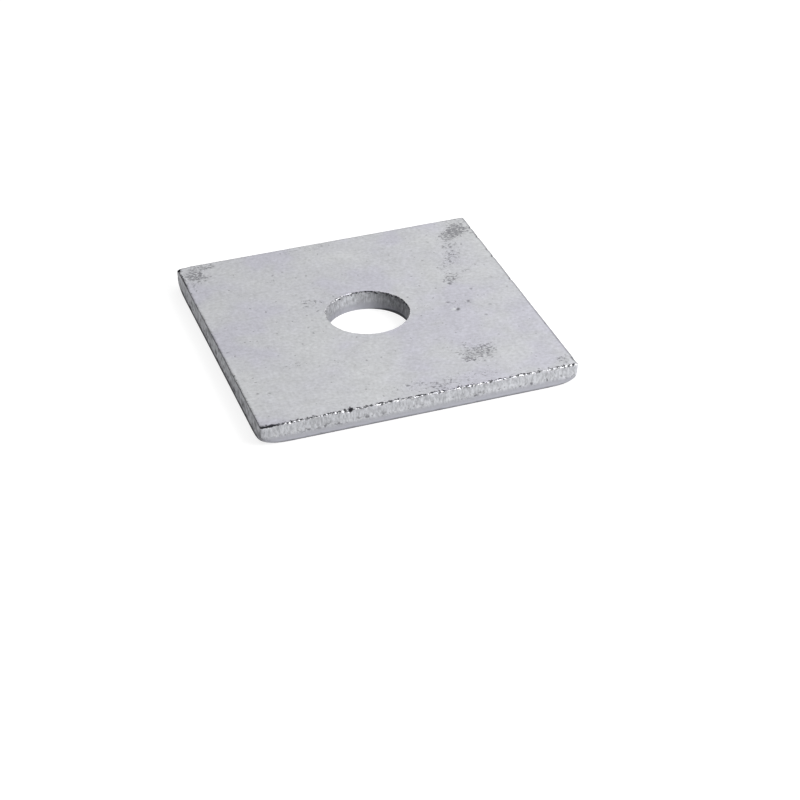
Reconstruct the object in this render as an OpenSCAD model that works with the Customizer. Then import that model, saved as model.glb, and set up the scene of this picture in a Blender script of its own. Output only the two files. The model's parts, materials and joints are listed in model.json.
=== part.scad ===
// Square plate washer for an M12 bolt: one flat piece of zinc-coated steel, blanked and punched.
// It lies as it does in use, with the rolled-over edges below and the torn edges above.
// Millimetres, +Z up. The origin is the middle of the square, on the face that lies on the surface.

/* [Plate] */
// Side of the square, measured over the burnished lower part of the walls
side = 50; // [40:1:80]
// Thickness of the plate, with its zinc coat
thickness = 3.3; // [2.8:0.1:6]

/* [Hole] */
// Diameter of the burnished lower part of the hole
hole_d = 13; // [9:0.5:17.5]
// How far the hole was punched off the middle of the square, towards +Y
hole_offset = 0.7; // [0:0.1:2]

/* [Sheared edges] */
// Height of the torn upper part of every wall, down from the upper face
torn_h = 2; // [1:0.1:2]
// How far the torn part of the outer walls has drawn back at its top
torn_lean = 0.12; // [0.02:0.01:0.3]
// How far the torn part of the hole has opened out at its top
hole_lean = 0.02; // [0.02:0.01:0.3]
// Broken upper edge of the square, level with the face and down the wall alike
edge_break = 0.2; // [0.05:0.05:0.4]
// Broken upper rim of the hole, level with the face and down the wall alike
rim_break = 0.05; // [0.05:0.05:0.4]
// Radius of the roll-over along the lower edges of the square
roll_r = 0.4; // [0.2:0.05:0.7]
// Radius of the roll-over round the lower rim of the hole
rim_roll_r = 0.2; // [0.2:0.05:0.7]

/* [Corners] */
// Distance from both walls to the upright axis that a corner is rounded about
corner_inset = 4.8; // [2.5:0.1:8]
// How much is missing from the sharp corner, along the diagonal
corner_loss = 0.2; // [0.1:0.05:0.5]

/* [Hidden] */
$fn = 96;
// How far a cutter reaches past the face that it cuts
overlap = 1;
half_side = side / 2;
// Height of the burnished wall's upper end, where the steel began to tear
tear_z = thickness - torn_h;
// Radius of a corner about its own axis
corner_reach = corner_inset * sqrt(2) - corner_loss;
// How far outside the straight roll-overs a corner's one meets the underside
corner_runout = 0.1;
// Radius of the roll-over below a corner
corner_roll_r = corner_reach - (corner_inset - roll_r) - corner_runout;
corner_at = half_side - corner_inset;
hole_r = hole_d / 2;

// Half of a sheared section from its axis out to a wall at "reach": rolled over by "roll" below,
// upright, then torn and leaning back up to the broken upper edge.
module sheared_half(reach, roll) {
    difference() {
        polygon([
            [0, 0],
            [reach, 0],
            [reach, tear_z],
            [reach - torn_lean, thickness - edge_break],
            [reach - torn_lean - edge_break, thickness],
            [0, thickness]
        ]);
        translate([reach - roll, 0])
            roll_over(roll);
    }
}

// What a roll-over of radius "r" takes off a square lower edge.
module roll_over(r) {
    difference() {
        translate([0, -overlap])
            square([r + overlap, r + overlap]);
        translate([0, r])
            circle(r = r);
    }
}

// A bar with the plate's section between two opposite walls, running along X.
module sheared_bar() {
    rotate([90, 0, 90])
        linear_extrude(height = side + 2 * overlap, center = true)
            union() {
                sheared_half(half_side, roll_r);
                mirror([1, 0])
                    sheared_half(half_side, roll_r);
            }
}

// What is missing from the sharp corner at +X +Y.
module corner_waste() {
    translate([corner_at, corner_at, 0])
        difference() {
            translate([0, 0, -overlap])
                cube([corner_inset + overlap, corner_inset + overlap, thickness + 2 * overlap]);
            rotate_extrude()
                sheared_half(corner_reach, corner_roll_r);
        }
}

// The square blank: two crossing bars keep what they share, then the corners are rounded.
module blank() {
    difference() {
        intersection() {
            sheared_bar();
            rotate([0, 0, 90])
                sheared_bar();
        }
        for (turn = [0:90:270])
            rotate([0, 0, turn])
                corner_waste();
    }
}

// The punched slug: burnished below, torn and wider above, with a rolled rim and a broken mouth.
module slug() {
    rotate_extrude()
        union() {
            polygon([
                [0, -overlap],
                [hole_r, -overlap],
                [hole_r, tear_z],
                [hole_r + hole_lean, thickness - rim_break],
                [hole_r + hole_lean + rim_break + overlap, thickness + overlap],
                [0, thickness + overlap]
            ]);
            translate([hole_r + rim_roll_r, 0])
                mirror([1, 0])
                    roll_over(rim_roll_r);
        }
}

module plate_washer() {
    color("#c2c4c9")
        difference() {
            blank();
            translate([0, hole_offset, 0])
                slug();
        }
}

plate_washer();
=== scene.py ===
"""Square plate washer in dull zinc-coated steel, lying with its torn edges up.

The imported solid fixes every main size. This script gives it a detailed skin of the same form, with
nibbled upper edges, torn and burnished walls and rolled lower edges, and dresses it in a mottled,
speckled zinc coat. Sizes are in millimetres unless a name says otherwise.
"""

from __future__ import annotations

import json
import logging
import math
from dataclasses import dataclass, field
from enum import Enum
from functools import reduce
from typing import Any, Iterator, Union

import bmesh
import bpy
from mathutils import Matrix, Vector, noise


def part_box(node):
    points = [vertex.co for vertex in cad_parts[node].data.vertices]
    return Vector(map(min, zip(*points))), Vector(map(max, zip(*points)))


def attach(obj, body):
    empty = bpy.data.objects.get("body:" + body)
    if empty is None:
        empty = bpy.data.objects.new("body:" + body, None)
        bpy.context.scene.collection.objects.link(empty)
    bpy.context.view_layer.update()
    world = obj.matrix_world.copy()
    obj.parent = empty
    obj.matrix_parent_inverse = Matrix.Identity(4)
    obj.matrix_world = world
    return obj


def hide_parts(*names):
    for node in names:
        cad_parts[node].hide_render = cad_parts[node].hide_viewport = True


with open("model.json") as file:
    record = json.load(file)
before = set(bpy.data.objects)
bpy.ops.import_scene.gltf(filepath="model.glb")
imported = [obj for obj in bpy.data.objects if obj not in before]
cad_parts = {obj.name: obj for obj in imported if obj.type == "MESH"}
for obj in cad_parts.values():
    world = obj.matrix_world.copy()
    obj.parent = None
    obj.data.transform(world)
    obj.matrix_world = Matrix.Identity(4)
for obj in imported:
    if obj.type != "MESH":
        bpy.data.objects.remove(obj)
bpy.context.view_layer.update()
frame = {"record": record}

LOG = logging.getLogger("plate_washer")

# One millimetre, in the frame's metres
MM = 0.001
# Middle of the range of Blender's soft noise
NOISE_MIDDLE = 0.5

Colour = tuple[float, float, float]
Paint = Union[Colour, bpy.types.NodeSocket]
Point = tuple[float, float, float]
Spot = tuple[float, float]
Band = tuple[float, float]

WHITE: Colour = (1.0, 1.0, 1.0)


class Wear(Enum):
    """Point attributes of the skin that tell the finish which surface it is on."""

    EDGE = "broken_edge"
    TORN = "torn_wall"
    TEAR = "tear_line"
    LAND = "burnished_wall"
    # Painted contact shade at the foot of the walls and the hole, with patches of grime and shade
    ROLL = "rolled_edge"
    BRINK = "edge_brink"
    # Dark nicks, and painted shade along the upper edges
    NICK = "dark_nick"
    # Painted shade on the hole's wall, most on two sides
    HOLE_SHADE = "hole_wall"


class Region(Enum):
    """Stretches of the plate's closed section, in order from the hole's upper rim outwards."""

    UPPER_FACE = "upper face"
    UPPER_EDGE = "upper edge"
    TORN = "torn wall"
    LAND = "burnished wall"
    ROLL = "rolled edge"
    UNDERSIDE = "underside"
    HOLE_ROLL = "rolled rim"
    HOLE_LAND = "burnished hole"
    HOLE_TORN = "torn hole"
    HOLE_RIM = "upper rim"


class Side(Enum):
    """The square's four sides, by the way each faces."""

    FRONT = (0, -1)
    RIGHT = (1, 0)
    BACK = (0, 1)
    LEFT = (-1, 0)

    def spot(self, half_side: float, along: float) -> Spot:
        """The spot on this side of a square, so far anticlockwise from the side's middle."""
        x, y = self.value
        return (x * half_side - y * along, y * half_side + x * along)


WornPoint = tuple[Point, dict[Wear, float]]


class Signal:
    """A number that varies over a surface: a node socket with arithmetic."""

    def __init__(self, bench: "NodeBench", socket: bpy.types.NodeSocket) -> None:
        """Wraps a socket of the bench's node tree."""
        self.bench = bench
        self.socket = socket

    def __add__(self, other: "Value") -> "Signal":
        """This plus other."""
        return self.bench.maths("ADD", self, other)

    def __radd__(self, other: "Value") -> "Signal":
        """Other plus this."""
        return self.bench.maths("ADD", other, self)

    def __sub__(self, other: "Value") -> "Signal":
        """This minus other."""
        return self.bench.maths("SUBTRACT", self, other)

    def __rsub__(self, other: "Value") -> "Signal":
        """Other minus this."""
        return self.bench.maths("SUBTRACT", other, self)

    def __mul__(self, other: "Value") -> "Signal":
        """This times other."""
        return self.bench.maths("MULTIPLY", self, other)

    def __rmul__(self, other: "Value") -> "Signal":
        """Other times this."""
        return self.bench.maths("MULTIPLY", other, self)

    def at_least(self, other: "Value") -> "Signal":
        """The larger of this and other."""
        return self.bench.maths("MAXIMUM", self, other)

    def fade(self, band: Band) -> "Signal":
        """Rises smoothly through a band.

        Args:
            band: The values at which it is 0 and 1. The second may be the lower one.

        Returns:
            The rise, from 0 to 1.
        """
        rising = band[0] < band[1]
        new = self.bench.node(
            "ShaderNodeMapRange",
            {"interpolation_type": "SMOOTHSTEP"},
            {
                "Value": self,
                "From Min": min(band),
                "From Max": max(band),
                "To Min": 0.0 if rising else 1.0,
                "To Max": 1.0 if rising else 0.0,
            },
        )
        return Signal(self.bench, new.outputs["Result"])


Value = Union[Signal, float]


class NodeBench:
    """A node tree, with one way to add a node and arithmetic on its sockets."""

    def __init__(self, tree: bpy.types.NodeTree) -> None:
        """Takes a node tree and empties it."""
        self.tree = tree
        self.tree.nodes.clear()

    def node(
        self,
        kind: str,
        settings: dict[str, Any] | None = None,
        sockets: dict[str | int, Any] | None = None,
    ) -> bpy.types.Node:
        """Adds a node.

        Args:
            kind: The node's type.
            settings: Its own options, which are set first.
            sockets: Values or links of its inputs, by identifier, name or number.

        Returns:
            The new node.
        """
        new = self.tree.nodes.new(kind)
        for name, value in (settings or {}).items():
            setattr(new, name, value)
        for key, value in (sockets or {}).items():
            self.feed(self.find(new, key), value)
        return new

    @staticmethod
    def find(node: bpy.types.Node, key: str | int) -> bpy.types.NodeSocket:
        """Finds an input of a node.

        Args:
            node: The node.
            key: The input's number, its identifier, or its name where it is in use.

        Returns:
            The input.
        """
        if isinstance(key, int):
            return node.inputs[key]
        for socket in node.inputs:
            if socket.identifier == key:
                return socket
        return next(socket for socket in node.inputs if socket.name == key and socket.enabled)

    def feed(self, socket: bpy.types.NodeSocket, value: Any) -> None:
        """Links a signal or socket to an input, or sets the input's own value.

        Args:
            socket: The input.
            value: What it takes. A colour may come without its alpha.
        """
        if isinstance(value, Signal):
            value = value.socket
        if isinstance(value, bpy.types.NodeSocket):
            self.tree.links.new(value, socket)
        elif socket.type == "RGBA" and len(value) < len(socket.default_value):
            socket.default_value = (*value, 1.0)
        else:
            socket.default_value = value

    def maths(self, operation: str, first: Value, second: Value) -> Signal:
        """One Math node on two values."""
        new = self.node("ShaderNodeMath", {"operation": operation}, {0: first, 1: second})
        return Signal(self, new.outputs[0])


@dataclass(frozen=True)
class Grain:
    """A layer of soft noise: blotches to a millimetre, finer layers on it, and their strength."""

    per_mm: float
    detail: float = 2.0
    roughness: float = 0.5
    stretch: Point = (1.0, 1.0, 1.0)


@dataclass(frozen=True)
class Tone:
    """Light and dark that a noise gives a surface, and how strongly."""

    grain: Grain
    contrast: float


@dataclass(frozen=True)
class Flaw:
    """Marks where a noise runs through a band of values, and how much they show."""

    grain: Grain
    band: Band
    strength: float


class MaterialBench(NodeBench):
    """A material's node tree, with short ways to add what the finishes need."""

    def __init__(self, name: str) -> None:
        """Starts a material that holds one Principled shader and its output.

        Args:
            name: The material's name.
        """
        self.material = bpy.data.materials.new(name)
        self.material.use_nodes = True
        super().__init__(self.material.node_tree)
        self.shader = self.node("ShaderNodeBsdfPrincipled")
        self.output = self.node("ShaderNodeOutputMaterial", sockets={"Surface": self.shader.outputs["BSDF"]})

    def attribute(self, wear: Wear) -> Signal:
        """The skin's own point attribute."""
        new = self.node("ShaderNodeAttribute", {"attribute_type": "GEOMETRY", "attribute_name": wear.value})
        return Signal(self, new.outputs["Fac"])

    def places(self) -> bpy.types.NodeSocket:
        """Object coordinates in millimetres."""
        coords = self.node("ShaderNodeTexCoord")
        return self.scaled(coords.outputs["Object"], (1 / MM, 1 / MM, 1 / MM))

    def scaled(self, vector: bpy.types.NodeSocket, factors: Point) -> bpy.types.NodeSocket:
        """A vector with each part multiplied by its factor."""
        new = self.node("ShaderNodeVectorMath", {"operation": "MULTIPLY"}, {0: vector, 1: factors})
        return new.outputs["Vector"]

    def turned(self, vector: bpy.types.NodeSocket, turn_deg: float) -> bpy.types.NodeSocket:
        """Coordinates along axes that are turned anticlockwise from above."""
        new = self.node(
            "ShaderNodeMapping",
            {"vector_type": "TEXTURE"},
            {"Vector": vector, "Rotation": (0.0, 0.0, math.radians(turn_deg))},
        )
        return new.outputs["Vector"]

    def around(
        self, vector: bpy.types.NodeSocket, centre: Spot, turn_deg: float, half_size: Spot, label: str
    ) -> Signal:
        """Distance from a spot of the face, in half sizes of a turned ellipse.

        Args:
            vector: Coordinates in millimetres.
            centre: Middle of the ellipse.
            turn_deg: Turn of its first axis, anticlockwise from above.
            half_size: Its two half axes.
            label: What the node tree calls it.

        Returns:
            The distance: 0 in the middle and 1 on the ellipse.
        """
        local = self.node(
            "ShaderNodeMapping",
            {"vector_type": "TEXTURE", "label": label},
            {
                "Vector": vector,
                "Location": (*centre, 0.0),
                "Rotation": (0.0, 0.0, math.radians(turn_deg)),
                "Scale": (*half_size, 1.0),
            },
        )
        flat = self.scaled(local.outputs["Vector"], (1.0, 1.0, 0.0))
        new = self.node("ShaderNodeVectorMath", {"operation": "LENGTH"}, {0: flat})
        return Signal(self, new.outputs["Value"])

    def height(self, vector: bpy.types.NodeSocket) -> Signal:
        """The upright part of coordinates."""
        new = self.node("ShaderNodeSeparateXYZ", sockets={"Vector": vector})
        return Signal(self, new.outputs["Z"])

    def clouds(self, vector: bpy.types.NodeSocket, grain: Grain) -> Signal:
        """Soft noise between 0 and 1, from coordinates in millimetres."""
        new = self.node(
            "ShaderNodeTexNoise",
            {"noise_dimensions": "3D", "normalize": True},
            {
                "Vector": self.scaled(vector, grain.stretch),
                "Scale": grain.per_mm,
                "Detail": grain.detail,
                "Roughness": grain.roughness,
            },
        )
        return Signal(self, new.outputs["Fac"])

    def tone(self, vector: bpy.types.NodeSocket, tone: Tone) -> Signal:
        """A level around 1, from coordinates in millimetres."""
        return 1.0 + tone.contrast * (self.clouds(vector, tone.grain) - NOISE_MIDDLE)

    def flaw(self, vector: bpy.types.NodeSocket, flaw: Flaw, push: Value = 0.0) -> Signal:
        """How much of a flaw there is, from 0 to its strength.

        Args:
            vector: Coordinates in millimetres.
            flaw: The flaw.
            push: What is added to its noise, to bring it on or hold it back.

        Returns:
            Its amount at each place.
        """
        return flaw.strength * (self.clouds(vector, flaw.grain) + push).fade(flaw.band)

    def blend(self, first: Paint, second: Paint, share: Value, mode: str = "MIX") -> bpy.types.NodeSocket:
        """Two colours mixed.

        Args:
            first: Colour or socket that shows where share is 0.
            second: Colour or socket that shows where share is 1.
            share: How much of the second is taken.
            mode: How they are mixed.

        Returns:
            The mixed colour.
        """
        new = self.node(
            "ShaderNodeMix",
            {"data_type": "RGBA", "blend_type": mode},
            {"Factor_Float": share, "A_Color": first, "B_Color": second},
        )
        return next(socket for socket in new.outputs if socket.identifier == "Result_Color")

    def shaded(self, colour: Paint, level: Signal) -> bpy.types.NodeSocket:
        """A colour made lighter or darker by a level around 1."""
        grey = self.node("ShaderNodeCombineColor", sockets={"Red": level, "Green": level, "Blue": level})
        return self.blend(colour, grey.outputs["Color"], 1.0, "MULTIPLY")

    def bump(self, height: Signal) -> bpy.types.NodeSocket:
        """A normal from a height in millimetres."""
        new = self.node("ShaderNodeBump", sockets={"Strength": 1.0, "Distance": MM, "Height": height})
        return new.outputs["Normal"]


@dataclass(frozen=True)
class Smudge:
    """A patch of the upper face where dark specks gather."""

    name: str
    centre: Spot
    half_size: Spot
    turn_deg: float
    strength: float


@dataclass(frozen=True)
class Pit:
    """A single dark pit in the upper face, and how bright the painted highlight on a crest beside it is."""

    centre: Spot
    radius: float
    darkness: float
    crest: float = 0.2


@dataclass(frozen=True)
class ZincCoat:
    """Dull zinc on steel: mottled grey with dark specks, and edge bits partly worn metal, partly painted
    glints and shade.
    """

    name: str = "dull zinc coat"
    # Colours of the coat in its patches and on the walls, of its dark marks, of its painted glints and bare
    # bits, and of the matt shader for grime and painted shade
    plain: Colour = (0.516, 0.521, 0.545)
    lilac: Colour = (0.493, 0.491, 0.543)
    chalk: Colour = (0.532, 0.539, 0.553)
    torn_colour: Colour = (0.688, 0.697, 0.731)
    land_colour: Colour = (0.578, 0.583, 0.640)
    stain: Colour = (0.15, 0.15, 0.165)
    # Colour of the painted glints between the specks and on the pits' crests
    bright: Colour = (0.68, 0.69, 0.71)
    bare_and_glint: Colour = (0.93, 0.93, 0.94)
    shade_and_grime: Colour = (0.03, 0.03, 0.036)
    shade_and_grime_roughness: float = 0.9

    # How metallic, how mirror-like and how rough each surface is
    metallic: float = 0.1
    torn_metallic: float = 0.25
    land_metallic: float = 0.3
    edge_metallic: float = 0.5
    speck_dulling: float = 0.1
    specular: float = 0.15
    roughness: float = 0.58
    torn_roughness: float = 0.56
    land_roughness: float = 0.42
    edge_roughness: float = 0.28
    uneven_gloss: float = 0.3

    # Soft patches of colour on the faces, and the bands of their noise that turn lilac and chalky
    patches: Grain = Grain(0.11, 2.0)
    lilac_band: Band = (0.5, 0.66)
    chalk_band: Band = (0.5, 0.36)
    # Light and dark on the faces, and on the torn and burnished walls
    blotches: Tone = Tone(Grain(0.45, 3.0, 0.6), 0.3)
    fine: Tone = Tone(Grain(1.8, 3.0, 0.6), 0.5)
    ribs: Tone = Tone(Grain(3.0, 3.0, 0.65, (1.0, 1.0, 0.42)), 1.4)
    swells: Tone = Tone(Grain(0.35, 2.0), 0.25)
    rubbing: Tone = Tone(Grain(1.6, 3.0, 0.6, (1.0, 1.0, 3.0)), 0.3)
    # Relief of the coat, in millimetres
    peel: Grain = Grain(1.3, 3.0, 0.6)
    peel_height: float = 0.024
    dents: Grain = Grain(0.5, 2.0)
    dent_height: float = 0.07
    rib_height: float = 0.05
    tear_height: float = 0.06
    speck_depth: float = 0.06

    # Dark pits and glints along the tear line
    tear_pits: Flaw = Flaw(Grain(1.3, 2.0, 0.6), (0.45, 0.35), 0.9)
    tear_glints: Flaw = Flaw(Grain(2.1, 2.0, 0.6), (0.57, 0.66), 0.45)
    # Bright bits and dark chips on the broken edges, partly bare metal and chipped coat and partly painted
    # glints and shade, and how fast the chips die out on the face
    crumbs: Flaw = Flaw(Grain(3.4, 2.0, 0.6), (0.52, 0.60), 0.95)
    chips_and_shade: Flaw = Flaw(Grain(2.5, 3.0, 0.65), (0.60, 0.52), 0.95)
    chip_reach: float = 0.26
    chip_start: Band = (0.02, 0.2)
    wall_chips_and_shade: Flaw = Flaw(Grain(2.6, 3.0, 0.65), (0.48, 0.41), 0.85)
    # Strength of the painted contact shade and grime at the walls' foot, and of the painted shade in the
    # hole with its streaks
    foot_shade_and_grime_strength: float = 0.86
    hole_shade_level: float = 0.55
    hole_streaks: float = 0.8

    # Faint dots all over, dark specks, most of them in the smudges, and painted glints between them; then
    # how the specks gather, how ragged the smudges and pits are, and where a pit's crest highlight is
    # painted
    dots: Flaw = Flaw(Grain(1.15, 1.0, 0.5), (0.69, 0.78), 0.5)
    flecks: Flaw = Flaw(Grain(1.9, 3.5, 0.68, (1.0, 1.4, 1.0)), (0.68, 0.78), 0.75)
    glints: Flaw = Flaw(Grain(1.9, 3.5, 0.68, (1.0, 1.4, 1.0)), (0.42, 0.32), 0.5)
    fleck_turn_deg: float = -19.0
    crowding: float = 0.24
    clumps: Tone = Tone(Grain(0.16, 2.0), 0.25)
    haze: float = 0.03
    smudge_fade: Band = (1.25, 0.3)
    smudge_raggedness: Tone = Tone(Grain(0.35, 3.0, 0.6), 2.2)
    pit_wall: Band = (1.2, 0.1)
    crest_glint_shift: Spot = (-0.45, 0.25)
    pit_raggedness: Tone = Tone(Grain(1.7, 3.0, 0.7), 3.2)
    # Heights between which the specks of the upper face begin
    upper_half: Band = (1.5, 2.5)
    smudges: tuple[Smudge, ...] = (
        Smudge("back corner", (21.4, 20.4), (5.4, 2.5), 55.0, 1.0),
        Smudge("stream", (18.0, 12.4), (4.8, 1.8), 62.0, 0.75),
        Smudge("left corner", (-22.6, 21.6), (2.3, 3.3), 0.0, 1.0),
        Smudge("left corner, along the back", (-20.4, 23.6), (2.8, 1.1), 0.0, 0.9),
        Smudge("left edge", (-23.8, 18.0), (1.1, 3.4), 0.0, 0.7),
        Smudge("right side", (16.0, 6.2), (2.8, 1.7), 50.0, 0.85),
        Smudge("scratch", (19.0, 7.8), (2.9, 0.7), 32.0, 0.7),
        Smudge("pits by the hole", (14.4, -2.0), (2.6, 2.6), 0.0, 0.55),
        Smudge("front right", (12.0, -16.2), (4.2, 3.3), 20.0, 0.75),
        Smudge("front right, heart", (10.0, -17.8), (2.0, 1.5), 15.0, 1.0),
        Smudge("left of the hole", (-7.6, 6.8), (2.6, 1.2), -10.0, 0.7),
        Smudge("front edge", (6.0, -22.6), (11.0, 2.2), 0.0, 0.55),
        Smudge("front right corner", (22.8, -22.8), (2.0, 1.6), 0.0, 0.6),
        Smudge("back edge", (-2.5, 23.6), (6.0, 1.0), 0.0, 0.45),
        Smudge("left face", (-14.6, -10.2), (1.8, 1.5), 0.0, 0.5),
        Smudge("back left", (-11.9, 15.2), (1.6, 1.2), 0.0, 0.55),
    )
    pits: tuple[Pit, ...] = (
        Pit((13.5, -3.4), 0.50, 1.0, 0.8),
        Pit((15.9, -1.6), 0.40, 0.8),
        Pit((12.7, -0.9), 0.40, 0.7),
        Pit((15.0, 4.6), 0.45, 0.9),
        Pit((15.2, 5.6), 0.35, 0.7),
        Pit((17.7, 1.9), 0.35, 0.6),
        Pit((19.3, 15.8), 0.40, 0.8),
        Pit((-22.7, -15.9), 0.35, 0.6),
        Pit((-21.0, -16.4), 0.30, 0.5),
        Pit((-8.6, 5.8), 0.35, 0.6),
        Pit((-1.2, -21.6), 0.40, 0.7),
    )

    def build(self) -> bpy.types.Material:
        """Makes the finish.

        Returns:
            The material.
        """
        bench = MaterialBench(self.name)
        places = bench.places()
        wear = {kind: bench.attribute(kind) for kind in Wear}
        face = (1.0 - wear[Wear.TORN] - wear[Wear.LAND]).at_least(0.0)
        fine = bench.clouds(places, self.fine.grain)
        ribs = bench.clouds(places, self.ribs.grain)
        specks, glints = (signal * face for signal in self.specks(bench, places))

        # Painted glints between the specks and on the pits' crests
        colour = bench.blend(self.mottle(bench, places, fine), self.bright, glints)
        colour = bench.blend(colour, self.torn_wall(bench, places, ribs, wear[Wear.TEAR]), wear[Wear.TORN])
        burnished = bench.shaded(self.land_colour, bench.tone(places, self.rubbing))
        colour = bench.blend(colour, burnished, wear[Wear.LAND])
        colour = bench.blend(colour, self.stain, specks)
        # Bright bits on the broken edges: partly bare metal, partly painted glints
        colour = bench.blend(colour, self.bare_and_glint, wear[Wear.EDGE] * bench.flaw(places, self.crumbs))
        bench.feed(bench.shader.inputs["Base Color"], colour)
        bench.feed(bench.shader.inputs["Specular IOR Level"], self.specular)

        metallic = self.by_surface(
            wear, self.metallic, self.torn_metallic, self.land_metallic, self.edge_metallic
        )
        metallic = metallic - self.speck_dulling * specks
        bench.feed(bench.shader.inputs["Metallic"], metallic.at_least(0.0))
        rough = self.by_surface(
            wear, self.roughness, self.torn_roughness, self.land_roughness, self.edge_roughness
        )
        bench.feed(bench.shader.inputs["Roughness"], rough + self.uneven_gloss * (fine - NOISE_MIDDLE))
        relief = (
            self.peel_height * (bench.clouds(places, self.peel) * face)
            + self.dent_height * (bench.clouds(places, self.dents) * face)
            + self.rib_height * (ribs * wear[Wear.TORN])
            + self.tear_height * (bench.clouds(places, self.tear_pits.grain) * wear[Wear.TEAR])
            - self.speck_depth * specks
        )
        bench.feed(bench.shader.inputs["Normal"], bench.bump(relief))
        bench.feed(bench.output.inputs["Surface"], self.dirtied_and_shaded(bench, places, wear, ribs))
        return bench.material

    @staticmethod
    def by_surface(wear: dict[Wear, Signal], face: float, torn: float, land: float, edge: float) -> Signal:
        """A value that is its own on each kind of surface.

        Args:
            wear: The skin's attributes.
            face: The value on the faces.
            torn: The value on the torn walls.
            land: The value on the burnished walls.
            edge: The value on the broken edges.

        Returns:
            The value at each place.
        """
        return (
            face
            + (torn - face) * wear[Wear.TORN]
            + (land - face) * wear[Wear.LAND]
            + (edge - face) * wear[Wear.EDGE]
        )

    def mottle(
        self, bench: MaterialBench, places: bpy.types.NodeSocket, fine: Signal
    ) -> bpy.types.NodeSocket:
        """The coat's own colour, in soft lilac and chalky patches with a fine grain.

        Args:
            bench: The material in hand.
            places: Coordinates in millimetres.
            fine: Fine grain of the coat.

        Returns:
            The colour.
        """
        patches = bench.clouds(places, self.patches)
        colour = bench.blend(self.plain, self.lilac, patches.fade(self.lilac_band))
        colour = bench.blend(colour, self.chalk, patches.fade(self.chalk_band))
        grainy = self.fine.contrast * (fine - NOISE_MIDDLE)
        return bench.shaded(colour, bench.tone(places, self.blotches) + grainy)

    def torn_wall(
        self, bench: MaterialBench, places: bpy.types.NodeSocket, ribs: Signal, tear: Signal
    ) -> bpy.types.NodeSocket:
        """The torn upper part of a wall: upright streaks, with dark pits and glints along the tear line.

        Args:
            bench: The material in hand.
            places: Coordinates in millimetres.
            ribs: Noise of the upright streaks.
            tear: How near the tear line each place is, from 0 to 1.

        Returns:
            The colour.
        """
        streaked = bench.tone(places, self.swells) + self.ribs.contrast * (ribs - NOISE_MIDDLE)
        colour = bench.shaded(self.torn_colour, streaked)
        colour = bench.blend(colour, self.stain, tear * bench.flaw(places, self.tear_pits))
        return bench.blend(colour, self.bare_and_glint, tear * bench.flaw(places, self.tear_glints))

    def dirtied_and_shaded(
        self, bench: MaterialBench, places: bpy.types.NodeSocket, wear: dict[Wear, Signal], ribs: Signal
    ) -> bpy.types.NodeSocket:
        """The coat under a matt dark shader: chips and nicks, and painted shade by the edges, in the hole
        and at the walls' foot.

        Args:
            bench: The material in hand.
            places: Coordinates in millimetres.
            wear: The skin's attributes.
            ribs: Noise of the upright streaks.

        Returns:
            The mixed shader.
        """
        brink = wear[Wear.BRINK]
        # Dark chips by the broken edges and the rim: partly chipped coat, partly painted shade
        on_face = bench.flaw(places, self.chips_and_shade, self.chip_reach * (1.0 - brink))
        on_face = on_face * brink.fade(self.chip_start)
        on_wall = wear[Wear.EDGE] * bench.flaw(places, self.wall_chips_and_shade)
        # Painted shade in the hole, in streaks
        streaked = wear[Wear.HOLE_SHADE] * (self.hole_shade_level + self.hole_streaks * (NOISE_MIDDLE - ribs))
        # Dark chips and nicks, partly painted shade, with painted shade at the foot of the walls and in the
        # hole
        dirt_and_shade = on_face.at_least(on_wall).at_least(wear[Wear.NICK])
        dirt_and_shade = dirt_and_shade.at_least(self.foot_shade_and_grime_strength * wear[Wear.ROLL]).at_least(streaked)
        matt = bench.node(
            "ShaderNodeBsdfPrincipled",
            sockets={"Base Color": self.shade_and_grime, "Roughness": self.shade_and_grime_roughness, "Specular IOR Level": 0.0},
        )
        both = bench.node(
            "ShaderNodeMixShader",
            sockets={0: dirt_and_shade, 1: bench.shader.outputs["BSDF"], 2: matt.outputs["BSDF"]},
        )
        return both.outputs["Shader"]

    def specks(self, bench: MaterialBench, places: bpy.types.NodeSocket) -> tuple[Signal, Signal]:
        """Specks: dark ones all over and many in the smudges, painted glints between, and pits with painted
        crest highlights.

        Args:
            bench: The material in hand.
            places: Coordinates in millimetres.

        Returns:
            How dark each place is, and how much painted glint it has, both from 0 to 1.
        """
        flat = bench.scaled(places, (1.0, 1.0, 0.0))
        frayed = bench.tone(flat, self.smudge_raggedness)
        ragged = bench.tone(flat, self.pit_raggedness)
        patches = []
        for smudge in self.smudges:
            away = bench.around(places, smudge.centre, smudge.turn_deg, smudge.half_size, smudge.name)
            patches.append(smudge.strength * (away * frayed).fade(self.smudge_fade))
        crowd = reduce(Signal.at_least, patches)
        turned = bench.turned(flat, self.fleck_turn_deg)
        gathering = self.crowding * crowd + bench.tone(flat, self.clumps) - 1.0
        marks = bench.flaw(turned, self.flecks, gathering).at_least(self.haze * crowd)
        marks = marks.at_least(bench.flaw(flat, self.dots))
        glints = crowd * bench.flaw(turned, self.glints)
        for pit in self.pits:
            size = (pit.radius, pit.radius)
            away = bench.around(places, pit.centre, 0.0, size, "pit") * ragged
            marks = marks.at_least(pit.darkness * away.fade(self.pit_wall))
            # A painted highlight on a crest beside the pit
            crest = (pit.centre[0] + self.crest_glint_shift[0], pit.centre[1] + self.crest_glint_shift[1])
            beside = bench.around(places, crest, 0.0, size, "crest") * ragged
            glints = glints.at_least(pit.crest * beside.fade(self.pit_wall))
        upper = bench.height(places).fade(self.upper_half)
        return marks * upper, glints * upper


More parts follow.
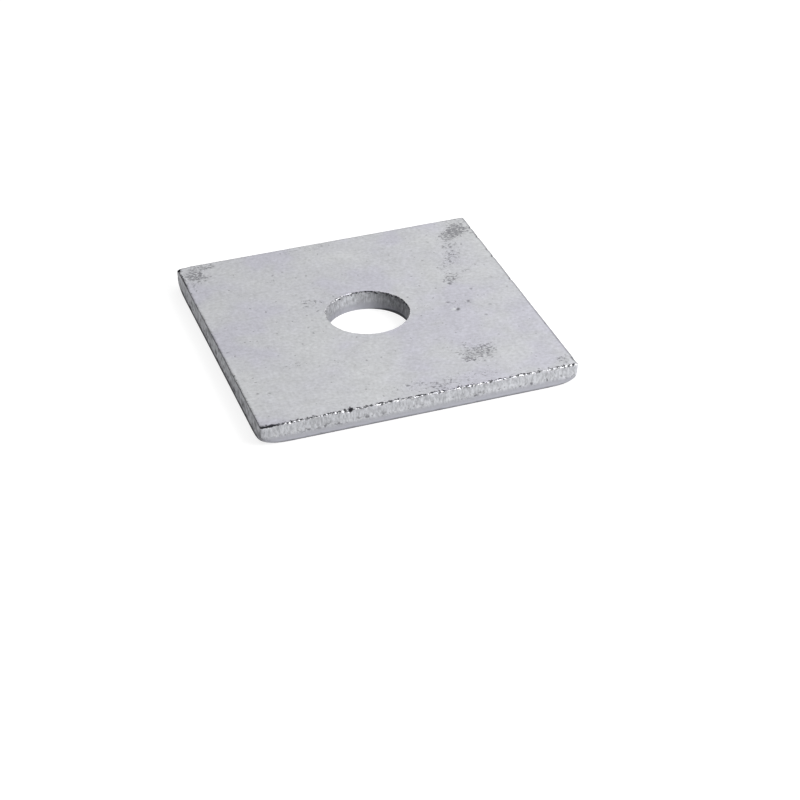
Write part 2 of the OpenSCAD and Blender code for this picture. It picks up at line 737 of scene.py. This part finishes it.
@dataclass(frozen=True)
class PaleFloor:
    """A plain white studio floor that keeps the object's shadow."""

    name: str = "pale floor"
    colour: Colour = (0.3, 0.3, 0.3)
    lift: float = 0.84
    roughness: float = 0.9

    def build(self) -> bpy.types.Material:
        """Makes the finish: a grey that takes the shadow, lifted to white for what the camera and metal see.

        Returns:
            The material.
        """
        bench = MaterialBench(self.name)
        bench.feed(bench.shader.inputs["Base Color"], self.colour)
        bench.feed(bench.shader.inputs["Roughness"], self.roughness)
        bench.feed(bench.shader.inputs["Specular IOR Level"], 0.0)
        rays = bench.node("ShaderNodeLightPath")
        seen = (
            Signal(bench, rays.outputs["Is Camera Ray"])
            .at_least(Signal(bench, rays.outputs["Is Glossy Ray"]))
            .at_least(Signal(bench, rays.outputs["Is Transmission Ray"]))
        )
        glow = bench.node("ShaderNodeEmission", sockets={"Color": WHITE, "Strength": seen * self.lift})
        both = bench.node(
            "ShaderNodeAddShader", sockets={0: bench.shader.outputs["BSDF"], 1: glow.outputs["Emission"]}
        )
        bench.feed(bench.output.inputs["Surface"], both.outputs["Shader"])
        return bench.material


def ramp(value: float, band: Band) -> float:
    """Rises evenly from 0 at the band's first value to 1 at its second, which may be the lower one."""
    return min(1.0, max(0.0, (value - band[0]) / (band[1] - band[0])))


def eased(share: float) -> float:
    """A share from 0 to 1, made slow at both ends."""
    return share * share * (3 - 2 * share)


def between(start: Spot, end: Spot, share: float) -> Spot:
    """The spot that lies a share of the way from one spot to another."""
    return (start[0] + (end[0] - start[0]) * share, start[1] + (end[1] - start[1]) * share)


def reached(start: Spot, facing: Spot, distance: float) -> Spot:
    """The spot at a distance from another one, the way that it faces."""
    return (start[0] + facing[0] * distance, start[1] + facing[1] * distance)


@dataclass(frozen=True)
class Ripple:
    """A layer of seeded noise in the shape: how fine, how strong, which slice, and how fine upright."""

    per_mm: float
    strength: float
    slice_at: float
    upright: float = 0.0

    def at(self, spot: Spot, height: float = 0.0) -> float:
        """The noise at a spot and height, between minus and plus its strength."""
        place = (spot[0] * self.per_mm, spot[1] * self.per_mm, height * self.upright + self.slice_at)
        return self.strength * noise.noise(Vector(place))

    def depth(self, spot: Spot, height: float = 0.0) -> float:
        """The noise at a spot and height as a depth, between 0 and its strength."""
        return (self.strength + self.at(spot, height)) / 2


@dataclass(frozen=True)
class ShearedWall:
    """Section of a sheared wall: how much steel is missing from it at each height."""

    top: float
    tear: float
    lean: float
    roll: float

    def rolled(self, height: float) -> float:
        """Steel that the roll-over takes off.

        Args:
            height: Height above the underside.

        Returns:
            How far it stands back there.
        """
        if height >= self.roll:
            return 0.0
        return self.roll - math.sqrt(self.roll**2 - (self.roll - height) ** 2)

    def torn(self, height: float, broken: float) -> float:
        """Steel that the tear takes off.

        Args:
            height: Height above the underside.
            broken: Size of the broken upper edge there.

        Returns:
            How far it stands back there.
        """
        if height <= self.tear:
            return 0.0
        return self.lean * (height - self.tear) / (self.top - broken - self.tear)

    def loss(self, height: float, broken: float) -> float:
        """Steel missing from the wall.

        Args:
            height: Height above the underside.
            broken: Size of the broken upper edge there.

        Returns:
            How far the wall stands back from its burnished part.
        """
        start = self.top - broken
        if height > start:
            return self.lean + height - start
        return max(self.rolled(height), self.torn(height, broken))


@dataclass(frozen=True)
class Nick:
    """A dent or a rough stretch of the upper edge, so far anticlockwise from the middle of a side."""

    side: Side
    along: float
    half_width: float
    depth: float
    darkness: float
    wear: float = 0.0

    def share(self, half_side: float, spot: Spot) -> float:
        """How much of the dent there is at a spot on a square's outline, from 0 to 1."""
        away = math.dist(self.side.spot(half_side, self.along), spot) / self.half_width
        return max(0.0, 1.0 - away * away)


@dataclass(frozen=True)
class SideWear:
    """One side: how rough its upper edge, how dark the painted shade on it, how high and patchy the painted
    shade and grime on its wall.
    """

    rough: float
    dark: float
    foot_shade_height: float
    patches: float


@dataclass(frozen=True)
class Column:
    """One upright line of the skin: where it stands and which way it faces."""

    axis: Spot
    facing: Spot
    foot: Spot
    side: Side
    hole_facing: Spot


@dataclass
class PlateWasher:
    """The washer's detailed skin. Sizes that the solid fixes come from the frame."""

    name: str = "plate_skin"
    node: str = "plate_washer"
    slot: str = "zinc_steel"
    # Section of the outer walls and of the hole
    torn_height: float = 2.3
    torn_lean: float = 0.12
    hole_lean: float = 0.02
    edge_break: float = 0.17
    rim_break: float = 0.05
    roll: float = 0.4
    rim_roll: float = 0.1
    # Corners: the inset of their axes, what they lose, how they run out below and flare to the walls, and
    # how crisply they meet the walls at the underside and at the upper face
    corner_inset: float = 4.8
    corner_loss: float = 0.10
    corner_runout: float = 0.1
    corner_flare: float = 0.15
    crispness: Band = (14.0, 80.0)
    # The mesh: its columns and rings, the sharpest angle that is shaded smooth, its weld, and how far it
    # stays inside the solid's box
    columns_a_side: int = 260
    rings: dict[Region, int] = field(
        default_factory=lambda: {
            Region.UPPER_FACE: 28,
            Region.UPPER_EDGE: 4,
            Region.TORN: 15,
            Region.LAND: 5,
            Region.ROLL: 8,
            Region.UNDERSIDE: 12,
            Region.HOLE_ROLL: 5,
            Region.HOLE_LAND: 4,
            Region.HOLE_TORN: 9,
            Region.HOLE_RIM: 3,
        }
    )
    smooth_below_deg: float = 32.0
    weld_m: float = 1e-8
    slack: float = 1e-4
    # Upper edge: its usual and least break as shares of edge_break, its unevenness and its nicks
    edge_usual: float = 0.8
    edge_least: float = 0.3
    bites: Ripple = Ripple(0.9, 0.9, 4.2)
    crumbs: Ripple = Ripple(2.6, 0.8, 8.9)
    nicks: tuple[Nick, ...] = (
        Nick(Side.FRONT, -11.2, 0.50, 0.40, 1.2),
        Nick(Side.FRONT, -24.4, 1.0, 0.12, 1.4),
        Nick(Side.FRONT, -23.2, 1.9, 0.06, 1.3),
        Nick(Side.FRONT, 10.6, 0.35, 0.15, 0.8),
        Nick(Side.LEFT, -24.6, 1.1, 0.25, 1.1),
        Nick(Side.BACK, 23.9, 0.8, 0.18, 0.8),
        Nick(Side.LEFT, -20.8, 5.0, 0.05, 0.7, 0.9),
        Nick(Side.RIGHT, 21.0, 0.50, 0.15, 1.0),
        Nick(Side.RIGHT, 17.6, 0.40, 0.14, 1.0),
        Nick(Side.RIGHT, 13.0, 0.50, 0.12, 0.9),
        Nick(Side.RIGHT, 10.6, 0.45, 0.14, 1.0),
        Nick(Side.RIGHT, 2.6, 0.50, 0.12, 0.9),
        Nick(Side.RIGHT, -23.6, 0.9, 0.12, 0.8),
    )
    # How worn each side is and how much painted shade it has, and how far its edge's roughness and painted
    # shade reach over the face
    sides: dict[Side, SideWear] = field(
        default_factory=lambda: {
            Side.FRONT: SideWear(rough=1.0, dark=0.0, foot_shade_height=0.50, patches=0.0),
            Side.RIGHT: SideWear(rough=0.25, dark=0.55, foot_shade_height=0.60, patches=0.4),
            Side.BACK: SideWear(rough=0.25, dark=0.35, foot_shade_height=0.60, patches=0.4),
            Side.LEFT: SideWear(rough=0.4, dark=0.5, foot_shade_height=1.2, patches=1.0),
        }
    )
    brink_width: float = 0.65
    line_width: float = 0.25
    # Painted contact shade at the walls' foot: how softly it ends, how unevenly it stands, its patches of
    # grime and shade, and what reaches the underside
    foot_shade_fade: float = 0.4
    foot_shade_drift: Ripple = Ripple(0.6, 0.25, 3.1)
    grime_and_shade_patches: Ripple = Ripple(0.9, 1.0, 6.6, 1.1)
    lip_shade: float = 0.5
    # Heights between which a torn wall passes into the burnished one
    land_blend: Band = (1.5, 0.75)
    # The tear: how its line wanders, where its pits lie along the torn part, and the relief of that part
    tear_drift: Ripple = Ripple(0.25, 0.10, 5.5)
    tear_jag: Ripple = Ripple(1.7, 0.10, 7.3)
    tear_middle: float = 0.8
    tear_spread: float = 0.3
    ribs: Ripple = Ripple(2.4, 0.05, 0.4, 1.3)
    pits: Ripple = Ripple(1.5, 0.20, 11.0, 1.6)
    pit_start: float = 0.03
    # The upper face's slight unevenness
    wave: Ripple = Ripple(0.09, 0.02, 1.7)
    # The hole: its tear as a share of the walls', its side painted in shade, how squarely a place faces that
    # side to take the painted shade and be rough, how high the painted shade at its foot stands there, and
    # the least of it all round
    hole_tear: float = 0.4
    hole_shade_toward: Spot = (0.95, 0.31)
    hole_shade_band: Band = (0.5, 1.0)
    rim_shade_band: Band = (-0.5, 0.3)
    hole_foot_shade_height: float = 0.95
    hole_shade_least: float = 0.2
    # The side across from it, which is also painted in shade under a clean rim
    hole_across_shade_toward: Spot = (-0.95, 0.31)
    hole_across_shade_band: Band = (0.3, 0.95)
    hole_across_shade: float = 0.85
    # Its upper rim: least and most roughness, how much it takes the edges' bits of bare metal and painted
    # glints, the heights over which dark streaks, partly painted shade, come on, and where and how much it
    # is broken deeper
    rim_brink: Band = (0.25, 0.9)
    rim_edge: float = 0.8
    rim_streaks: Band = (2.6, 3.2)
    rim_break_toward: Spot = (-0.72, 0.69)
    rim_break_band: Band = (0.7, 0.92)
    rim_break_more: float = 0.16

    def __post_init__(self) -> None:
        """Reads the solid's box and hole from the frame."""
        low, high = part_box(self.node)
        self.half_side: float = (high.x - low.x) / 2 / MM - self.slack
        self.thickness: float = (high.z - low.z) / MM - self.slack
        hole = next(mount for mount in frame["record"]["mounts"] if mount["kind"] == "bore")
        self.hole_at: Spot = (hole["pos_m"][0] / MM, hole["pos_m"][1] / MM)
        self.hole_radius: float = hole["dims"]["r_mm"]
        self.inner: float = self.half_side - self.corner_inset
        self.corner_reach: float = self.corner_inset * math.sqrt(2) - self.corner_loss
        tear = self.thickness - self.torn_height
        corner_roll = self.corner_reach - (self.corner_inset - self.roll) - self.corner_runout
        self.wall = ShearedWall(self.thickness, tear, self.torn_lean, self.roll)
        self.corner = ShearedWall(self.thickness, tear, self.torn_lean, corner_roll)
        self.hole_wall = ShearedWall(self.thickness, tear, self.hole_lean, self.rim_roll)

    def build(self) -> bpy.types.Object:
        """Models the skin and hangs it on the frame.

        A sheet with a row for each ring of the section and a line for each column is rolled into a closed
        shape: every point of it is moved to its place, and the seams are welded.

        Returns:
            The skin.
        """
        columns = list(self.columns())
        stations = list(self.stations())
        maker = bmesh.new()
        layers = {wear: maker.verts.layers.float.new(wear.value) for wear in Wear}
        bmesh.ops.create_grid(maker, x_segments=len(columns), y_segments=len(stations), size=1.0)
        for vertex in maker.verts:
            column = columns[self.line_number(vertex.co.x, len(columns))]
            region, along = stations[self.line_number(vertex.co.y, len(stations))]
            place, worn = self.place(column, region, along)
            vertex.co = Vector(place) * MM
            for wear, amount in worn.items():
                vertex[layers[wear]] = amount
        bmesh.ops.remove_doubles(maker, verts=maker.verts, dist=self.weld_m)
        bmesh.ops.recalc_face_normals(maker, faces=maker.faces)
        for face in maker.faces:
            face.smooth = True
        for edge in maker.edges:
            edge.smooth = edge.calc_face_angle(0.0) < math.radians(self.smooth_below_deg)
        mesh = bpy.data.meshes.new(self.name)
        maker.to_mesh(mesh)
        maker.free()
        skin = bpy.data.objects.new(self.name, mesh)
        bpy.context.scene.collection.objects.link(skin)
        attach(skin, "root")
        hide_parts(self.node)
        LOG.info("%s: %d faces", self.name, len(mesh.polygons))
        return skin

    @staticmethod
    def line_number(across: float, count: int) -> int:
        """Which line of the sheet a point is on, from its place between -1 and 1. The last is the first."""
        return round((across + 1) / 2 * count) % count

    def dress(self, skin: bpy.types.Object, coat: ZincCoat) -> None:
        """Puts the zinc coat on the skin."""
        skin.data.materials.append(coat.build())
        LOG.info("%s: %s", skin.name, coat.name)

    def columns(self) -> Iterator[Column]:
        """Stands upright lines at even steps along the square.

        Yields:
            The columns, anticlockwise from the front left corner.
        """
        step = 2 * self.half_side / self.columns_a_side
        for side in Side:
            out = Vector(side.value)
            heading = Vector((-out.y, out.x))
            start = (out - heading) * self.half_side
            for count in range(self.columns_a_side):
                foot = start + heading * count * step
                axis = Vector([max(-self.inner, min(self.inner, part)) for part in foot])
                yield Column(
                    tuple(axis),
                    tuple((foot - axis).normalized()),
                    tuple(foot),
                    side,
                    tuple((foot - Vector(self.hole_at)).normalized()),
                )

    def stations(self) -> Iterator[tuple[Region, float]]:
        """Lists the rings of the section in order.

        Yields:
            A ring's region, and how far along that region it lies, from 0 to 1.
        """
        for region in Region:
            count = self.rings[region]
            for number in range(count):
                yield region, number / count

    def place(self, column: Column, region: Region, along: float) -> WornPoint:
        """Where one point of the skin lies.

        Args:
            column: The upright line that it is on.
            region: The stretch of the section that it is in.
            along: How far along that stretch, from 0 to 1.

        Returns:
            The point, and the wear there.
        """
        if region is Region.UPPER_FACE:
            return self.on_upper_face(column, along)
        if region is Region.UNDERSIDE:
            return self.on_underside(column, along)
        if region in (Region.HOLE_ROLL, Region.HOLE_LAND, Region.HOLE_TORN, Region.HOLE_RIM):
            return self.on_hole(column, region, along)
        return self.on_wall(column, region, along)

    def on_upper_face(self, column: Column, along: float) -> WornPoint:
        """A point of the upper face.

        Args:
            column: The upright line that it is on.
            along: How far out it lies, from 0 at the hole's rim to 1 at the upper edge.

        Returns:
            The point, and the wear there.
        """
        rim = self.hole_point(column, self.thickness, self.rim_broken(column))
        brim = self.wall_point(column, self.thickness, self.edge_broken(column))
        spot = between(rim, brim, eased(along))
        at_rim = 1.0 if along == 0.0 else 0.0
        sunk = self.wave.depth(spot) * (1.0 - at_rim)
        inset = math.dist(spot, brim)
        brink = max(
            self.roughness(column) * ramp(inset, (self.brink_width, 0.0)),
            self.rim_roughness(column) * at_rim,
        )
        # Painted shade along the upper edge, darkest at the brim, with the nicks
        line = self.darkness(column) * ramp(inset, (self.line_width, 0.0))
        worn = {Wear.EDGE: self.rim_edge * at_rim, Wear.BRINK: brink, Wear.NICK: line}
        return (*spot, self.thickness - sunk), worn

    def on_underside(self, column: Column, along: float) -> WornPoint:
        """A point of the underside.

        Args:
            column: The upright line that it is on.
            along: How far in it lies, from 0 at the rolled edge to 1 at the rolled rim.

        Returns:
            The point, and the wear there.
        """
        rim = self.hole_point(column, 0.0, self.rim_break)
        brim = self.wall_point(column, 0.0, self.edge_break)
        spot = between(brim, rim, eased(along))
        # The underside's outer ring takes a little painted contact shade
        return (*spot, 0.0), {Wear.ROLL: self.lip_shade if along == 0.0 else 0.0}

    def on_wall(self, column: Column, region: Region, along: float) -> WornPoint:
        """A point of the outer wall.

        Args:
            column: The upright line that it is on.
            region: The stretch of the wall that it is in.
            along: How far down that stretch, from 0 to 1.

        Returns:
            The point, and the wear there.
        """
        broken = self.edge_broken(column)
        tear = self.tear_line(column.foot)
        rough = self.roughness(column)
        worn: dict[Wear, float] = {}
        depth = 0.0
        if region is Region.UPPER_EDGE:
            height = self.thickness - broken * along
            worn[Wear.EDGE] = rough
            worn[Wear.BRINK] = rough * (1.0 - along)
            # Painted shade and dark nicks down the broken edge
            worn[Wear.NICK] = self.darkness(column)
        elif region is Region.TORN:
            height = self.thickness - broken + (tear - self.thickness + broken) * along
            worn[Wear.EDGE] = rough if along == 0.0 else 0.0
            worn[Wear.TEAR] = max(0.0, 1.0 - abs(along - self.tear_middle) / self.tear_spread)
            depth = self.tear_depth(column.foot, height, along)
        elif region is Region.LAND:
            height = tear + (self.roll - tear) * along
        else:
            height = self.roll * (1 - math.sin(along * math.pi / 2))
        if region is not Region.UPPER_EDGE:
            worn.update(self.sheared(height))
            # Painted contact shade at the wall's foot, with patches of grime and shade above it
            worn[Wear.ROLL] = self.wall_shade_and_grime(column, height)
        return (*self.wall_point(column, height, broken, depth), height), worn

    def on_hole(self, column: Column, region: Region, along: float) -> WornPoint:
        """A point of the hole's wall.

        Args:
            column: The upright line that it is on.
            region: The stretch of the wall that it is in.
            along: How far up that stretch, from 0 to 1.

        Returns:
            The point, and the wear there.
        """
        broken = self.rim_broken(column)
        spot = self.rim_spot(column)
        tear = self.tear_line(spot)
        # Painted shade on the hole's wall: most on one side, some on the side across, and a little all round
        shade_side = ramp(self.turned_to(column, self.hole_shade_toward), self.hole_shade_band)
        dull = self.hole_across_shade * ramp(self.turned_to(column, self.hole_across_shade_toward), self.hole_across_shade_band)
        worn: dict[Wear, float] = {Wear.HOLE_SHADE: max(self.hole_shade_least, shade_side, dull)}
        depth = 0.0
        if region is Region.HOLE_ROLL:
            height = self.rim_roll * (1 - math.cos(along * math.pi / 2))
        elif region is Region.HOLE_LAND:
            height = self.rim_roll + (tear - self.rim_roll) * along
        elif region is Region.HOLE_TORN:
            height = tear + (self.thickness - broken - tear) * along
            worn[Wear.BRINK] = self.rim_roughness(column) * ramp(height, self.rim_streaks)
            depth = self.hole_tear * self.tear_depth(spot, height, 1.0 - along)
        else:
            height = self.thickness - broken * (1.0 - along)
            worn[Wear.EDGE] = self.rim_edge
            worn[Wear.BRINK] = self.rim_roughness(column)
        if region is not Region.HOLE_RIM:
            worn.update(self.sheared(height))
            # Painted contact shade at the hole's foot, highest on the side painted in shade
            top = self.hole_foot_shade_height * shade_side
            worn[Wear.ROLL] = ramp(height, (top, top - self.foot_shade_fade))
        return (*self.hole_point(column, height, broken, depth), height), worn

    def sheared(self, height: float) -> dict[Wear, float]:
        """How burnished and how torn a wall is at a height, each from 0 to 1."""
        burnished = ramp(height, self.land_blend)
        return {Wear.LAND: burnished, Wear.TORN: 1.0 - burnished}

    def wall_point(self, column: Column, height: float, broken: float, depth: float = 0.0) -> Spot:
        """Where a column meets the outer wall at a height.

        Args:
            column: The column.
            height: Height above the underside.
            broken: Size of the broken upper edge there.
            depth: How deep the torn surface lies there.

        Returns:
            The point, seen from above.
        """
        flat = self.corner_inset - self.wall.loss(height, broken) - depth
        across = [flat / abs(part) for part in column.facing if part]
        if len(across) == len(column.facing):
            fan = abs(2 * column.facing[0] * column.facing[1])
            rounded = self.corner_reach - self.corner.loss(height, broken) - depth
            across.append(rounded * (1 + self.corner_flare * (1 - fan) ** 2))
        low, high = self.crispness
        crisp = low * (high / low) ** (height / self.thickness)
        reach = sum(part**-crisp for part in across) ** (-1 / crisp)
        return reached(column.axis, column.facing, reach)

    def hole_point(self, column: Column, height: float, broken: float, depth: float = 0.0) -> Spot:
        """Where a column meets the hole's wall at a height, seen from above."""
        radius = self.hole_radius + self.hole_wall.loss(height, broken) + depth
        return reached(self.hole_at, column.hole_facing, radius)

    def rim_spot(self, column: Column) -> Spot:
        """A column's place on the hole's rim, from the hole's middle."""
        return (column.hole_facing[0] * self.hole_radius, column.hole_facing[1] * self.hole_radius)

    @staticmethod
    def turned_to(column: Column, toward: Spot) -> float:
        """How squarely a column lies towards a direction from the hole's middle, from -1 to 1."""
        return Vector(toward).dot(Vector(column.hole_facing))

    def edge_broken(self, column: Column) -> float:
        """Size of the broken upper edge: nibbled unevenly, with a few deeper nicks.

        Args:
            column: The upright line where it is wanted.

        Returns:
            The size, level with the face and down the wall alike.
        """
        uneven = self.bites.at(column.foot) + self.crumbs.at(column.foot)
        dent = max(nick.depth * nick.share(self.half_side, column.foot) for nick in self.nicks)
        share = max(self.edge_least, self.edge_usual + self.roughness(column) * uneven)
        return self.edge_break * share + dent

    def roughness(self, column: Column) -> float:
        """How rough the upper edge is at a column, from 0 to 1."""
        local = max(nick.wear * nick.share(self.half_side, column.foot) for nick in self.nicks)
        return max(local, self.sides[column.side].rough)

    def darkness(self, column: Column) -> float:
        """How dark the upper edge is painted at a column, from 0 to 1: its nicks, and painted shade along
        all sides but the front.
        """
        local = max(nick.darkness * nick.share(self.half_side, column.foot) for nick in self.nicks)
        return min(1.0, max(local, self.sides[column.side].dark))

    def wall_shade_and_grime(self, column: Column, height: float) -> float:
        """Painted contact shade at the foot of the outer wall, with patches of grime and painted shade above
        it.

        Args:
            column: The upright line where it is wanted.
            height: Height above the underside.

        Returns:
            How dark the wall is painted there, from 0 to 1.
        """
        side = self.sides[column.side]
        top = side.foot_shade_height * (1.0 + self.foot_shade_drift.at(column.foot))
        patch = side.patches * max(0.0, self.grime_and_shade_patches.at(column.foot, height))
        return max(patch, ramp(height, (top, top - self.foot_shade_fade)))

    def rim_broken(self, column: Column) -> float:
        """Size of the broken upper rim of the hole, which is larger on one side.

        Args:
            column: The upright line where it is wanted.

        Returns:
            The size, level with the face and down the wall alike.
        """
        spot = self.rim_spot(column)
        uneven = self.bites.at(spot) + self.crumbs.at(spot)
        more = ramp(self.turned_to(column, self.rim_break_toward), self.rim_break_band)
        return (self.rim_break + self.rim_break_more * more) * max(self.edge_least, 1.0 + uneven)

    def rim_roughness(self, column: Column) -> float:
        """Roughness of the hole's upper rim, which is most on the side painted in shade, where the rim's
        dark chips gather.

        Args:
            column: The upright line where it is wanted.

        Returns:
            How rough the rim is there, from 0 to 1.
        """
        least, most = self.rim_brink
        shade_side = ramp(self.turned_to(column, self.hole_shade_toward), self.rim_shade_band)
        return least + (most - least) * shade_side

    def tear_line(self, spot: Spot) -> float:
        """Height of the ragged line where the burnished wall begins to tear."""
        return self.wall.tear + self.tear_drift.at(spot) + self.tear_jag.at(spot)

    def tear_depth(self, spot: Spot, height: float, down: float) -> float:
        """How deep the torn surface lies under the plain wall.

        Args:
            spot: Place on the outline.
            height: Height above the underside.
            down: How far down the torn part, from 0 at its top to 1 at the tear line.

        Returns:
            The depth.
        """
        swell = math.sin(math.pi * min(1.0, max(0.0, down)))
        pitted = max(0.0, self.pits.at(spot, height) - self.pit_start) * down
        return swell * (self.ribs.depth(spot, height) + pitted)


@dataclass(frozen=True)
class PhotoCamera:
    """The camera, where the photograph was taken from."""

    name: str = "photo camera"
    stand: Point = (-85.1, -270.2, 172.25)
    aim: Point = (-3.53, -24.88, 3.3)
    roll_deg: float = -1.18
    lens_mm: float = 94.7
    sensor_mm: float = 36.0
    clip_m: Band = (0.01, 20.0)

    def build(self) -> bpy.types.Object:
        """Makes the camera and gives it to the scene.

        Returns:
            The camera.
        """
        data = bpy.data.cameras.new(self.name)
        data.lens = self.lens_mm
        data.sensor_width = self.sensor_mm
        data.clip_start, data.clip_end = self.clip_m
        camera = bpy.data.objects.new(self.name, data)
        look = (Vector(self.aim) - Vector(self.stand)).to_track_quat("-Z", "Y")
        turn = look.to_matrix().to_4x4() @ Matrix.Rotation(math.radians(self.roll_deg), 4, "Z")
        camera.matrix_world = Matrix.Translation(Vector(self.stand) * MM) @ turn
        bpy.context.scene.collection.objects.link(camera)
        bpy.context.scene.camera = camera
        LOG.info("%s: %.0f mm lens", self.name, self.lens_mm)
        return camera


@dataclass(frozen=True)
class Softbox:
    """A square soft lamp, aimed at the washer. Azimuth 0 is the front, at -Y, and 90 the right, at +X."""

    name: str
    azimuth_deg: float
    elevation_deg: float
    distance_m: float
    size_m: float
    radiance: float

    def build(self) -> bpy.types.Object:
        """Makes the lamp and aims it.

        Returns:
            The lamp.
        """
        data = bpy.data.lights.new(self.name, "AREA")
        data.shape = "SQUARE"
        data.size = self.size_m
        data.energy = self.radiance * math.pi * self.size_m**2
        lamp = bpy.data.objects.new(self.name, data)
        lamp.visible_camera = False
        azimuth = math.radians(self.azimuth_deg)
        elevation = math.radians(self.elevation_deg)
        level = math.cos(elevation)
        away = Vector((math.sin(azimuth) * level, -math.cos(azimuth) * level, math.sin(elevation)))
        lamp.location = away * self.distance_m
        lamp.rotation_mode = "QUATERNION"
        lamp.rotation_quaternion = (-away).to_track_quat("-Z", "Y")
        bpy.context.scene.collection.objects.link(lamp)
        LOG.info("lamp: %s", self.name)
        return lamp


@dataclass(frozen=True)
class Surround:
    """Soft light from all round, brighter from one side, as from the walls of a studio."""

    bright_from: Point = (0.70, 0.35, 0.62)
    dim: float = 0.05
    bright: float = 0.7
    spread: Band = (-0.4, 1.0)

    def build(self) -> bpy.types.World:
        """Makes the world and gives it to the scene.

        Returns:
            The world.
        """
        world = bpy.data.worlds.new("studio surround")
        world.use_nodes = True
        bench = NodeBench(world.node_tree)
        coords = bench.node("ShaderNodeTexCoord")
        toward = bench.node(
            "ShaderNodeVectorMath",
            {"operation": "DOT_PRODUCT"},
            {0: coords.outputs["Generated"], 1: Vector(self.bright_from).normalized()},
        )
        level = Signal(bench, toward.outputs["Value"]).fade(self.spread)
        background = bench.node(
            "ShaderNodeBackground",
            sockets={"Color": WHITE, "Strength": self.dim + (self.bright - self.dim) * level},
        )
        bench.node("ShaderNodeOutputWorld", sockets={"Surface": background.outputs["Background"]})
        bpy.context.scene.world = world
        return world


@dataclass(frozen=True)
class Studio:
    """A white floor, the surround and soft lamps."""

    floor_half_m: float = 6.0
    floor: PaleFloor = PaleFloor()
    surround: Surround = Surround()
    softboxes: tuple[Softbox, ...] = (
        Softbox(
            "key softbox",
            azimuth_deg=54.0,
            elevation_deg=38.0,
            distance_m=0.33,
            size_m=0.225,
            radiance=6.3,
        ),
        Softbox(
            "back softbox",
            azimuth_deg=145.0,
            elevation_deg=35.0,
            distance_m=0.50,
            size_m=0.44,
            radiance=1.0,
        ),
    )

    def build(self) -> None:
        """Makes the floor, the world and the lamps."""
        maker = bmesh.new()
        bmesh.ops.create_grid(maker, x_segments=1, y_segments=1, size=self.floor_half_m)
        mesh = bpy.data.meshes.new("studio floor")
        maker.to_mesh(mesh)
        maker.free()
        ground = bpy.data.objects.new("studio_floor", mesh)
        mesh.materials.append(self.floor.build())
        bpy.context.scene.collection.objects.link(ground)
        self.surround.build()
        for softbox in self.softboxes:
            softbox.build()
        bpy.context.scene.view_settings.view_transform = "Standard"
        LOG.info("studio: floor, surround and %d lamps", len(self.softboxes))


def main() -> None:
    """Builds the camera, the washer and the studio."""
    logging.basicConfig(level=logging.INFO, format="%(name)s: %(message)s")
    PhotoCamera().build()
    washer = PlateWasher()
    skin = washer.build()
    washer.dress(skin, ZincCoat())
    Studio().build()


if __name__ == "__main__":
    main()
